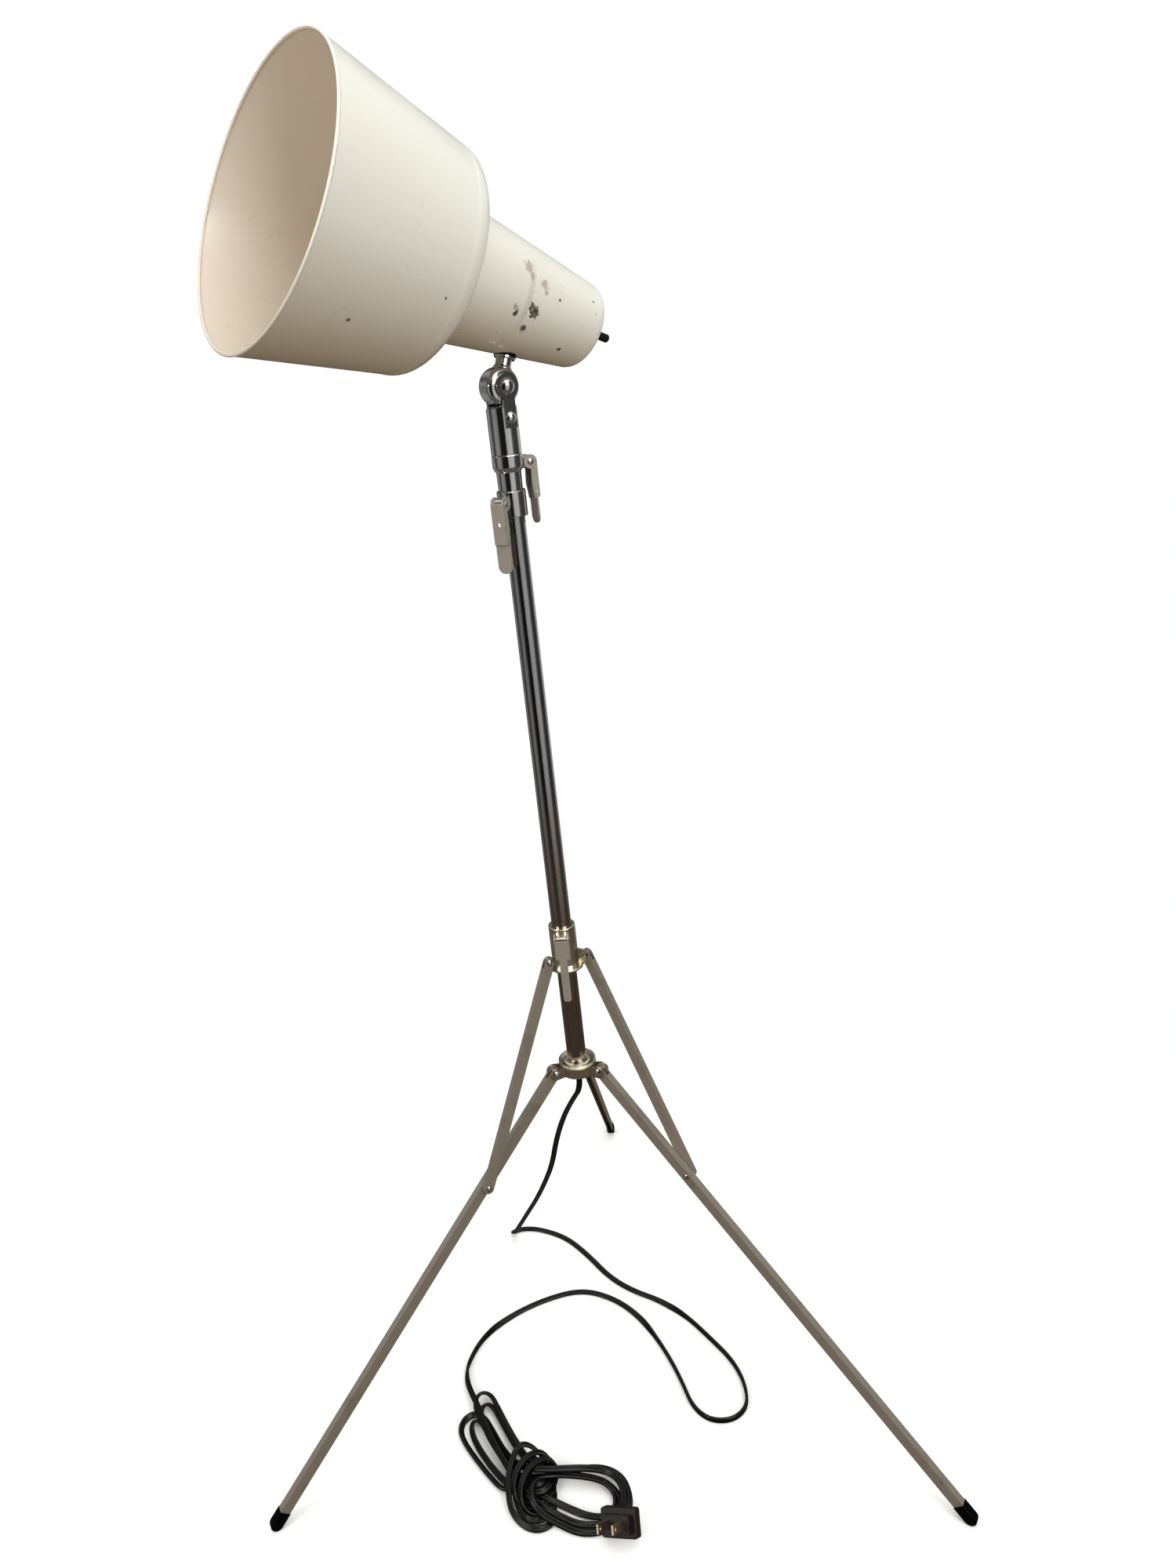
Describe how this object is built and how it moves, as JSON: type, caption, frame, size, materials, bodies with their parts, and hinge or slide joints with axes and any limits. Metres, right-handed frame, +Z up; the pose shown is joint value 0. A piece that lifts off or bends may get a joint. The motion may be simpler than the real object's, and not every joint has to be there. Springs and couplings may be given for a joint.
{
  "type": "folding tripod photo lamp",
  "caption": "Folding tripod photo lamp: deep bell reflector on a tilting swivel, telescoping mast with flip-lever locks, riveted folding legs and struts, and a coiled lamp cord with plug.",
  "frame": {"origin": "on the floor, at the point where the mast axis meets it", "axes": "+Z up along the mast, +Y towards the back leg, -Y towards the viewer; the lamp head looks towards -X -Y"},
  "size_m": [0.5586, 0.5101, 1.0762],
  "materials": {
    "nickel": "satin nickel plate, warm grey",
    "bright_nickel": "bright nickel plate with a faint yellow cast",
    "chrome": "bright chrome plate, dark reflections",
    "lever_steel": "matt grey zinc plate",
    "rivet": "domed bright rivets",
    "cream_paint": "smooth glossy cream stove enamel, chipped in small spots",
    "black_rubber": "smooth black rubber",
    "black_cord": "flat two-core lamp cord, slightly shiny",
    "black_plastic": "black moulded plastic",
    "brass": "bright brass",
    "phenolic": "dark brown moulded phenolic",
    "zinc": "zinc plated",
    "insulation": "off-white wire insulation"
  },
  "bodies": {
    "base": {"hub_body": "nickel", "hub_plate": "bright_nickel", "cord_outlet_bush": "black_rubber", "leg_pivot_rivets": "rivet", "lower_tube": "chrome", "lower_collar": "chrome", "lower_lever_pin": "zinc", "cord_lead": "black_cord", "cord_hank": "black_cord", "plug_body": "black_plastic", "plug_blades": "brass"},
    "leg_left": {"leg_left": "nickel", "foot_cap_left": "black_rubber", "leg_rivet_left": "rivet"},
    "leg_right": {"leg_right": "nickel", "foot_cap_right": "black_rubber", "leg_rivet_right": "rivet"},
    "leg_back": {"leg_back": "nickel", "foot_cap_back": "black_rubber", "leg_rivet_back": "rivet"},
    "strut_left": {"strut_left": "nickel", "strut_rivet_left": "rivet"},
    "strut_right": {"strut_right": "nickel", "strut_rivet_right": "rivet"},
    "strut_back": {"strut_back": "nickel", "strut_rivet_back": "rivet"},
    "slider": {"slider_sleeve": "bright_nickel", "slider_ring": "bright_nickel", "strut_top_rivets": "rivet", "slider_lever_pin": "zinc"},
    "slider_lever": {"slider_lever": "lever_steel"},
    "lower_lever": {"lower_lever": "lever_steel"},
    "middle_section": {"middle_tube": "chrome", "middle_guide_bush": "brass", "middle_collar": "chrome", "middle_lever_pin": "zinc"},
    "middle_lever": {"middle_lever": "lever_steel"},
    "upper_section": {"upper_tube": "chrome", "upper_guide_bush": "brass", "inner_cord": "black_cord", "inner_cord_bush": "black_plastic"},
    "head_mount": {"swivel_ferrule": "chrome", "ferrule_rivets": "rivet", "tilt_screw": "chrome", "tilt_nut": "chrome"},
    "lamp_head": {"knuckle": "chrome", "neck_gasket": "black_rubber", "neck_washer": "zinc", "neck_nut": "zinc", "rear_housing": "cream_paint", "reflector_shade": "cream_paint", "shade_rivets": "rivet", "socket_body": "phenolic", "screw_shell": "brass", "centre_contact": "brass", "socket_bracket": "zinc", "socket_leads": "insulation", "switch_body": "phenolic", "switch_nut": "brass"},
    "switch_button": {"switch_button": "black_plastic"}
  },
  "joints": [
    {"name": "leg_left_fold", "type": "hinge", "parent": "base", "child": "leg_left", "pos_m": [-0.01905, -0.011, 0.3166], "axis": [-0.5, 0.866, 0], "range_deg": [0, 133.65]},
    {"name": "leg_right_fold", "type": "hinge", "parent": "base", "child": "leg_right", "pos_m": [0.01905, -0.011, 0.3166], "axis": [-0.5, -0.866, 0], "range_deg": [0, 133.65]},
    {"name": "leg_back_fold", "type": "hinge", "parent": "base", "child": "leg_back", "pos_m": [0, 0.022, 0.3166], "axis": [1, 0, 0], "range_deg": [0, 133.65]},
    {"name": "slider_slide", "type": "slide", "parent": "base", "child": "slider", "axis": [0, 0, 1], "range_m": [0, 0.202]},
    {"name": "strut_left_swing", "type": "hinge", "parent": "slider", "child": "strut_left", "pos_m": [-0.01507, -0.0087, 0.4212], "axis": [-0.5, 0.866, 0], "range_deg": [-20.46, 0]},
    {"name": "strut_right_swing", "type": "hinge", "parent": "slider", "child": "strut_right", "pos_m": [0.01507, -0.0087, 0.4212], "axis": [-0.5, -0.866, 0], "range_deg": [-20.46, 0]},
    {"name": "strut_back_swing", "type": "hinge", "parent": "slider", "child": "strut_back", "pos_m": [0, 0.0174, 0.4212], "axis": [1, 0, 0], "range_deg": [-20.46, 0]},
    {"name": "slider_lever_flip", "type": "hinge", "parent": "slider", "child": "slider_lever", "pos_m": [0, -0.0154, 0.4415], "axis": [-1, 0, 0], "range_deg": [0, 100]},
    {"name": "lower_lever_flip", "type": "hinge", "parent": "base", "child": "lower_lever", "pos_m": [-0.00723, -0.0136, 0.7855], "axis": [-0.8829, 0.4695, 0], "range_deg": [0, 100]},
    {"name": "middle_slide", "type": "slide", "parent": "base", "child": "middle_section", "axis": [0, 0, 1], "range_m": [0, 0.38]},
    {"name": "middle_lever_flip", "type": "hinge", "parent": "middle_section", "child": "middle_lever", "pos_m": [0.01334, 0.0077, 0.811], "axis": [0.5, -0.866, 0], "range_deg": [0, 100]},
    {"name": "upper_slide", "type": "slide", "parent": "middle_section", "child": "upper_section", "axis": [0, 0, 1], "range_m": [0, 0.36]},
    {"name": "head_pan", "type": "hinge", "parent": "upper_section", "child": "head_mount", "pos_m": [0, 0, 0.84], "axis": [0, 0, 1], "range_deg": [-170, 170]},
    {"name": "head_tilt", "type": "hinge", "parent": "head_mount", "child": "lamp_head", "pos_m": [0, 0, 0.864], "axis": [0.6428, -0.766, 0], "range_deg": [-68, 80]},
    {"name": "switch_push", "type": "slide", "parent": "lamp_head", "child": "switch_button", "axis": [-0.7103, -0.596, 0.3746], "range_m": [0, 0.003], "stiffness_N_per_m": 500, "springref_m": -0.0006}
  ],
  "couplings": [
    {"joint": "leg_right_fold", "follows": "leg_left_fold", "ratio": 1},
    {"joint": "leg_back_fold", "follows": "leg_left_fold", "ratio": 1},
    {"joint": "slider_slide", "follows": "leg_left_fold", "m_per_rad": 0.08638},
    {"joint": "strut_left_swing", "follows": "leg_left_fold", "ratio": -0.15159},
    {"joint": "strut_right_swing", "follows": "leg_left_fold", "ratio": -0.15159},
    {"joint": "strut_back_swing", "follows": "leg_left_fold", "ratio": -0.15159}
  ]
}
